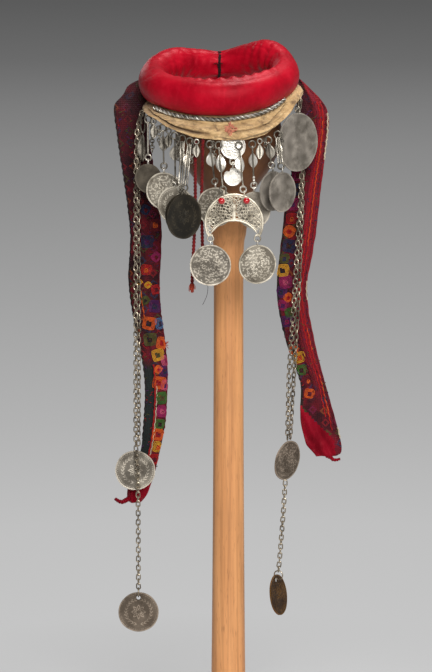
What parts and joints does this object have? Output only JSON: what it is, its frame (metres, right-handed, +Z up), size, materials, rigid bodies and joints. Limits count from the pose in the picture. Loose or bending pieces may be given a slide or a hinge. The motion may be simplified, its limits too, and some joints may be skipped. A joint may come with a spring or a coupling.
{
  "type": "bridal headdress on display stand",
  "caption": "Padded satin ring with a cloth band, hanging coins, a pierced crescent pendant, long side chains and embroidered streamers, held on a plain turned wooden stand.",
  "frame": {"origin": "centre of the stand's foot, on the surface that it stands on", "axes": "+Z up along the post, -Y towards the viewer at the headdress's front, +X to the right as seen from the front"},
  "size_m": [0.2541, 0.2, 0.7805],
  "materials": {
    "wood": "satin varnish",
    "crimson_satin": "satin",
    "silver_braid": "metallic thread",
    "cream_cloth": "matt, stained",
    "embroidered_cloth": "matt, embroidered",
    "red_cord": "matt",
    "dark_cord": "matt",
    "silver": "worn silver",
    "dark_silver": "blackened silver",
    "brown_silver": "brown tarnish",
    "red_glass": "polished"
  },
  "bodies": {
    "headdress": {"centre_coin": "silver", "centre_plate": "silver", "chain_coin_left": "silver", "chain_coin_right": "brown_silver", "chain_left_back": "silver", "chain_left_front": "silver", "chain_left_lower": "silver", "chain_right_back": "silver", "chain_right_front": "silver", "chain_right_lower": "silver", "crescent_hanger_left": "silver", "crescent_hanger_right": "silver", "forehead_band": "cream_cloth", "fringe_coin_a": "silver", "fringe_coin_b": "silver", "fringe_coin_c": "silver", "fringe_coin_d": "dark_silver", "fringe_coin_e": "dark_silver", "fringe_coin_f": "silver", "fringe_coin_g": "silver", "fringe_coin_h": "silver", "fringe_coin_i": "silver", "hanger_a": "silver", "hanger_b": "silver", "hanger_c": "silver", "hanger_d": "silver", "hanger_e": "silver", "hanger_f": "silver", "hanger_g": "silver", "hanger_h": "silver", "hanger_i": "silver", "leaf_dangle_1": "silver", "leaf_dangle_2": "silver", "leaf_dangle_3": "silver", "leaf_dangle_4": "silver", "leaf_dangle_5": "silver", "padded_ring": "crimson_satin", "red_cord_long": "red_cord", "red_cord_short": "red_cord", "ring_tie": "dark_cord", "side_disc": "dark_silver", "silver_braid": "silver_braid", "stand": "wood", "streamer_left": "embroidered_cloth", "streamer_left_tie": "crimson_satin", "streamer_right": "embroidered_cloth", "streamer_right_tie": "crimson_satin"},
    "crescent": {"crescent": "silver", "bead_left": "red_glass", "bead_right": "red_glass"},
    "drop_coin_left": {"drop_coin_left": "silver"},
    "drop_coin_right": {"drop_coin_right": "silver"},
    "end_coin_left": {"end_coin_left": "silver"},
    "end_coin_right": {"end_coin_right": "brown_silver"}
  },
  "joints": [
    {"name": "crescent_swing", "type": "hinge", "parent": "headdress", "child": "crescent", "pos_m": [0.0053, -0.086, 0.62763], "axis": [1, 0, 0], "range_deg": [-60, 5]},
    {"name": "drop_coin_left_swing", "type": "hinge", "parent": "crescent", "child": "drop_coin_left", "pos_m": [-0.0197, -0.086, 0.5753], "axis": [1, 0, 0], "range_deg": [-60, 5]},
    {"name": "drop_coin_right_swing", "type": "hinge", "parent": "crescent", "child": "drop_coin_right", "pos_m": [0.0303, -0.086, 0.5753], "axis": [1, 0, 0], "range_deg": [-60, 5]},
    {"name": "end_coin_left_swing", "type": "hinge", "parent": "headdress", "child": "end_coin_left", "pos_m": [-0.1, -0.008, 0.1701], "axis": [1, 0, 0], "range_deg": [-30, 30]},
    {"name": "end_coin_right_swing", "type": "hinge", "parent": "headdress", "child": "end_coin_right", "pos_m": [0.0556, -0.006, 0.1892], "axis": [0.3907, 0.9205, 0], "range_deg": [-30, 30]}
  ]
}
